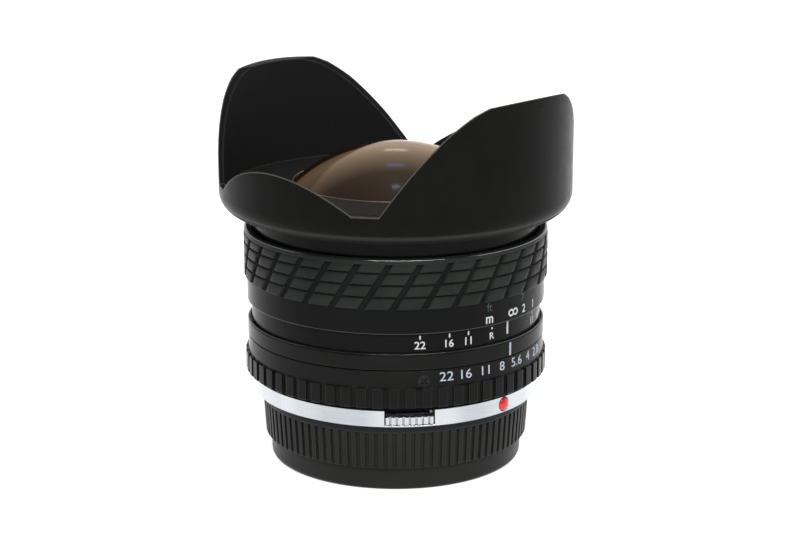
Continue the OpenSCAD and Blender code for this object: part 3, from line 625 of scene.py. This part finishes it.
def grip_tread():
    """The whole rubber sleeve with its tiles; its second finish, a darker copy of the rubber, is painted
    shade in the grooves.
    """
    whole = turned_ring([
        (SLEEVE_INSIDE, GRIP.foot), (SLEEVE_R, GRIP.foot), (SLEEVE_R, COLLAR_FOOT),
        (COLLAR_R, COLLAR_FOOT), (COLLAR_R, COLLAR_TOP), (SLEEVE_INSIDE, COLLAR_TOP),
    ], steps=192)
    rims = edge_loop(whole, COLLAR_R, COLLAR_FOOT) + edge_loop(whole, COLLAR_R, COLLAR_TOP)
    round_edges(whole, rims, COLLAR_ROUNDING, segments=2)
    soften(whole, sharp=30)
    for face in whole.faces:
        face.material_index = int(face.calc_center_median().xy.length < SLEEVE_R + NEAR)
    to_metres(whole)
    foot = SLEEVE_R - TILE_SUNK
    blocks = [(STEP_FOOT, COLLAR_FOOT, STEP_R, STEP_ROUNDING)]
    blocks += [(low, high, GRIP.radius, TILE_ROUNDING) for low, high in zip(ROW_FEET, ROW_HEADS)]
    for column in range(TILE_COLUMNS):
        turn = (column + 0.5) * 360 / TILE_COLUMNS + TILE_TURN
        for low, high, top, rounding in blocks:
            shape = leaning_block(low, high, foot, top, rounding)
            bend_round(shape, turn, GRIP_MIDDLE, plain(foot))
            soften(shape, sharp=50)
            for face in shape.faces:
                face.material_index = int(top == STEP_R)
            add_shape(whole, shape)
    return whole


def lip_shade():
    """The flat black floor between the lip and the neck."""
    inside, outside = FOCUS.radius - 1.35, FOCUS.radius - 0.4
    low, high = FOCUS.top - 0.15, FOCUS.top + 0.01
    shape = turned_ring([(inside, low), (outside, low), (outside, high), (inside, high)], steps=144)
    soften(shape, sharp=30)
    to_metres(shape)
    return shape


# Marks on the rings

FILL_PROUD = 0.03
FILL_SUNK = 0.05
FILL_THICK = FILL_PROUD + FILL_SUNK
FILL_MIDDLE = (FILL_PROUD - FILL_SUNK) / 2


def flat_figure(words, tall, narrow=0.92, weight=0.0):
    """A figure as a thin flat plate, middle at the origin: x along the ring, y up, z outwards."""
    letters = bpy.data.curves.new("figure", "FONT")
    letters.body = words
    letters.resolution_u = 5
    letters.offset = weight
    letters.extrude = 0.5
    holder = bpy.data.objects.new("figure", letters)
    scene.collection.objects.link(holder)
    plate = bpy.data.meshes.new_from_object(holder.evaluated_get(bpy.context.evaluated_depsgraph_get()))
    bpy.data.objects.remove(holder)
    bpy.data.curves.remove(letters)
    shape = bmesh.new()
    shape.from_mesh(plate)
    bpy.data.meshes.remove(plate)
    bmesh.ops.remove_doubles(shape, verts=shape.verts, dist=1e-5)
    low = Vector([min(v.co[axis] for v in shape.verts) for axis in range(3)])
    high = Vector([max(v.co[axis] for v in shape.verts) for axis in range(3)])
    bmesh.ops.translate(shape, verts=shape.verts, vec=-(low + high) / 2)
    grow = tall / (high.y - low.y)
    bmesh.ops.scale(shape, verts=shape.verts, vec=(grow * narrow, grow, FILL_THICK))
    bmesh.ops.translate(shape, verts=shape.verts, vec=(0, 0, FILL_MIDDLE))
    return shape


def flat_stroke(wide, tall):
    """A straight engraved stroke as a thin plate."""
    shape = bmesh.new()
    bmesh.ops.create_cube(shape, size=1.0)
    bmesh.ops.scale(shape, verts=shape.verts, vec=(wide, tall, FILL_THICK))
    bmesh.ops.translate(shape, verts=shape.verts, vec=(0, 0, FILL_MIDDLE))
    upright = [e for e in shape.edges if abs(e.verts[0].co.z - e.verts[1].co.z) > FILL_SUNK]
    round_edges(shape, upright, 0.3 * wide, segments=3)
    return shape


def endless_sign(tall, wide, stroke):
    """The lying eight of the far distance: two flat rings side by side."""
    shape = bmesh.new()
    for side in (-1, 1):
        disc = bmesh.ops.create_circle(shape, cap_ends=True, segments=28, radius=0.5)["verts"]
        bmesh.ops.scale(shape, verts=disc, vec=(wide / 2 + stroke / 2, tall, 1))
        face = [f for f in shape.faces if set(f.verts) == set(disc)]
        inner = bmesh.ops.inset_region(shape, faces=face, thickness=stroke, use_boundary=True,
                                       use_even_offset=True)
        bmesh.ops.delete(shape, geom=face, context="FACES_ONLY")
        ring = list({v for f in inner["faces"] for v in f.verts})
        bmesh.ops.translate(shape, verts=ring, vec=(side * (wide - stroke) / 4, 0, -FILL_SUNK))
    block = bmesh.ops.extrude_face_region(shape, geom=list(shape.faces))["geom"]
    bmesh.ops.translate(shape, verts=[g for g in block if isinstance(g, bmesh.types.BMVert)],
                        vec=(0, 0, FILL_THICK))
    return shape


def ring_marks(name, body, fill, radius_at, marks):
    """One piece of all the marks of a ring: each mark is a flat shape, its turn and its height."""
    whole = bmesh.new()
    for shape, turn, height in marks:
        bend_round(shape, turn, height, radius_at)
        add_shape(whole, shape)
    bmesh.ops.recalc_face_normals(whole, faces=whole.faces)
    return new_piece(name, body, whole, fill)


def aperture_band(z):
    """Radius of the leaning band of figures above the ribs of the aperture ring."""
    band_foot = APERTURE.foot + 4.1
    band_tall = 3.38
    band_r = BARREL.radius + 0.05
    band_lean = 0.15
    return band_r - band_lean * (z - band_foot) / band_tall


# Each figure with its turn to the right in degrees, from the index for the stops, else from the front
APERTURE_STOPS = (("22", -29), ("16", -21), ("11", -12.5), ("8", -4.3), ("5.6", 4.3), ("4", 12.4),
                  ("2.8", 20.5))
DEPTH_STOPS = (("22", 38.9), ("16", 27.4), ("11", 19.5))
METRES = (("2", 9), ("1", 16.5), ("0.5", 37), ("0.3", 75), ("0.2", 130))
FEET = (("ft", -10.5), ("7", 8), ("3", 17.5), ("1.5", 40), ("1", 73), ("0.7", 125))
INDEX_TURN = 0.6
INFRARED_TURN = -7.9
ENDLESS_TURN = 2.0
METRE_TURN = -10.5
# Height of each row
APERTURE_ROW = APERTURE.foot + 6.15
INDEX_ROW = DEPTH.foot - 1.88
DEPTH_ROW = DEPTH.foot + 1.55
TICK_ROW = DEPTH.top - 0.75
DISTANCE_ROW = FOCUS.foot + 1.6
FEET_ROW = GRIP.foot - 1.2

sleeve = new_piece("grip_tread", "focus_ring", grip_tread(), grip_rubber, groove_shaded_rubber)
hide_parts("focus_grip")
new_piece("grip_lip", "focus_ring", crest(*LIP_ARC), lip_gloss)
new_piece("lip_shade", "focus_ring", lip_shade(), gap_lifted_black)
ring_marks("aperture_figures", "aperture_ring", blue_fill, aperture_band, [
    (flat_figure(words, tall=1.85, narrow=1.18), turn + INDEX_TURN, APERTURE_ROW)
    for words, turn in APERTURE_STOPS
])
ring_marks("barrel_index", "barrel", blue_fill, plain(BARREL.radius), [
    (flat_stroke(wide=0.5, tall=2.75), INDEX_TURN, INDEX_ROW)
])
ring_marks("depth_figures", "barrel", white_fill, plain(DEPTH.radius), [
    (flat_figure(words, tall=1.6, narrow=1.05, weight=0.012), side * turn + INDEX_TURN, DEPTH_ROW)
    for words, turn in DEPTH_STOPS for side in (-1, 1)
] + [(flat_figure("R", tall=1.4, narrow=1.05, weight=0.012), INFRARED_TURN, DEPTH_ROW + 0.1)])
ring_marks("depth_ticks", "barrel", white_fill, plain(DEPTH.radius), [
    (flat_stroke(wide=0.32, tall=0.85), side * turn + INDEX_TURN, TICK_ROW)
    for words, turn in DEPTH_STOPS for side in (-1, 1)
] + [
    (flat_stroke(wide=0.42, tall=0.42), INFRARED_TURN, TICK_ROW + 0.05),
    (flat_stroke(wide=0.5, tall=2.7), INDEX_TURN, TICK_ROW - 0.7),
])
ring_marks("distance_figures", "focus_ring", white_fill, plain(DISTANCE_R), [
    (flat_figure("m", tall=1.45, narrow=0.9, weight=0.014), METRE_TURN, DISTANCE_ROW - 0.35),
    (endless_sign(tall=1.55, wide=3.1, stroke=0.36), ENDLESS_TURN, DISTANCE_ROW),
] + [
    (flat_figure(words, tall=1.75, narrow=1.0, weight=0.012), turn, DISTANCE_ROW) for words, turn in METRES
])
ring_marks("feet_figures", "focus_ring", green_fill, plain(DISTANCE_R), [
    (flat_figure(words, tall=1.7), turn, FEET_ROW) for words, turn in FEET
])


# Stage: a white sweep all round, a dark room in front, a lamp over the camera and three lamps for glints

# Lengths are metres; the lamps and the room are turned in degrees from the camera
CAMERA_TURN = -47.5
CAMERA_TILT = 14.72
CAMERA_AWAY = 0.42762
CAMERA_ASIDE = 0.0009
CAMERA_HEIGHT = 0.15185
LENS_MIDDLE = Vector((0, 0, 0.05))
FLOOR_HALF = 3.0
AIM = Vector((math.sin(math.radians(CAMERA_TURN)), -math.cos(math.radians(CAMERA_TURN)), 0))
ASIDE = Vector((-AIM.y, AIM.x, 0))
UP = Vector((0, 0, 1))


def looking(spot, ahead):
    """The place of a camera or a lamp at a spot that looks ahead."""
    return Matrix.Translation(spot) @ ahead.to_track_quat("-Z", "Y").to_matrix().to_4x4()


def seen_or_mirrored(wires):
    """1 for rays from the camera, a mirror or glass, 0 for the rest."""
    path = wires.add("LightPath")
    total = path.outputs["Is Camera Ray"]
    for name in ("Is Glossy Ray", "Is Transmission Ray"):
        total = wires.reckon("MAXIMUM", total, path.outputs[name])
    return total


def white_surround(soft, dim):
    """A white world for the eye, one that dims to the left for reflections, and a softer one for light."""
    world = bpy.data.worlds.new("white_surround")
    scene.world = world
    world.use_nodes = True
    sky = Wiring(world.node_tree, "Background")
    sky.fill(sky.shader, {"Color": (1, 1, 1, 1)})
    strength = sky.spread(seen_or_mirrored(sky), soft, 1.0, start=0.0, stop=1.0)
    leftward = sky.add("VectorMath", operation="DOT_PRODUCT")
    sky.join(sky.add("TexCoord").outputs["Generated"], leftward.inputs[0])
    leftward.inputs[1].default_value = -ASIDE
    lost = sky.spread(leftward.outputs["Value"], 0.0, dim - 1.0, start=0.1, stop=0.5)
    kept = sky.reckon("MULTIPLY_ADD", sky.add("LightPath").outputs["Is Glossy Ray"], lost, 1.0)
    sky.join(sky.reckon("MULTIPLY", strength, kept), "Strength")


def pale_floor(glow):
    """A white floor that keeps a faint shadow."""
    shape = bmesh.new()
    bmesh.ops.create_grid(shape, x_segments=4, y_segments=4, size=FLOOR_HALF)
    paper = Finish("floor_white_paper", Roughness=0.9, Specular_IOR_Level=0.1, Emission_Color=(1, 1, 1, 1))
    clouds = paper.spread(paper.noise(8), 0.0, 1.0)
    paper.join(paper.blend(clouds, (0.88, 0.88, 0.88), (0.9, 0.9, 0.9)), "Base Color")
    paper.join(paper.spread(seen_or_mirrored(paper), 0.0, glow, start=0.0, stop=1.0), "Emission Strength")
    floor = place_object("floor", shape, paper.material)


def dark_room(reach, turn, wide, low, high):
    """A dark curved wall in front that the camera doesn't see, only the reflections do."""
    shape = bmesh.new()
    start = Matrix.Rotation(math.radians(turn - wide), 3, "Z") @ AIM
    foot = shape.verts.new(start * reach + UP * low)
    head = shape.verts.new(start * reach + UP * high)
    edge = shape.edges.new((foot, head))
    bmesh.ops.spin(shape, geom=[foot, head, edge], axis=(0, 0, 1), cent=(0, 0, 0),
                   angle=math.radians(2 * wide), steps=24)
    cloth = Finish("room_dark_cloth", Roughness=0.9, Specular_IOR_Level=0.0)
    cloth.join(cloth.blend(cloth.noise(6), (0.008, 0.008, 0.008), (0.014, 0.014, 0.014)), "Base Color")
    room = place_object("dark_room", shape, cloth.material)
    room.visible_camera = room.visible_diffuse = room.visible_shadow = False


def soft_lamp(name, turn, rise, reach, wide, tall, power, glint=None):
    """A soft oblong lamp that looks at the lens; one with a glint colour shows in reflections alone."""
    lamp = bpy.data.lights.new(name, "AREA")
    lamp.color = glint or (1, 1, 1)
    lamp.shape = "RECTANGLE"
    lamp.size = wide
    lamp.size_y = tall
    lamp.energy = power
    level = Matrix.Rotation(math.radians(turn), 3, "Z") @ AIM
    away = math.cos(math.radians(rise)) * level + math.sin(math.radians(rise)) * UP
    holder = bpy.data.objects.new(name, lamp)
    holder.visible_diffuse = glint is None
    holder.matrix_world = looking(LENS_MIDDLE + reach * away, -away)
    scene.collection.objects.link(holder)


def photo_camera():
    """The camera of the photograph: a long lens at its turn, its height and its tilt."""
    eye = bpy.data.cameras.new("photo_camera")
    eye.lens = 94.5
    eye.sensor_width = 36
    eye.clip_start = 0.01
    tilt = math.radians(CAMERA_TILT)
    ahead = -AIM * math.cos(tilt) - UP * math.sin(tilt)
    holder = bpy.data.objects.new("photo_camera", eye)
    holder.matrix_world = looking(AIM * CAMERA_AWAY + ASIDE * CAMERA_ASIDE + UP * CAMERA_HEIGHT, ahead)
    scene.collection.objects.link(holder)
    scene.camera = holder


white_surround(soft=0.5, dim=0.55)
pale_floor(glow=0.7)
dark_room(reach=1.1, turn=-8, wide=72, low=0.0, high=1.5)
soft_lamp("lamp_over_camera", turn=9, rise=40, reach=1.0, wide=0.9, tall=0.06, power=5)
soft_lamp("lamp_above", turn=0, rise=99, reach=1.4, wide=0.07, tall=0.02, power=0.35,
          glint=(0.39, 0.55, 1.0))
soft_lamp("lamp_behind", turn=180, rise=31, reach=1.4, wide=0.16, tall=0.03, power=0.13,
          glint=(0.75, 0.9, 1.0))
soft_lamp("lamp_cool_glint", turn=180, rise=56, reach=1.4, wide=0.19, tall=0.05, power=0.22,
          glint=(0.21, 0.28, 1.0))
photo_camera()
scene.view_settings.view_transform = "Standard"
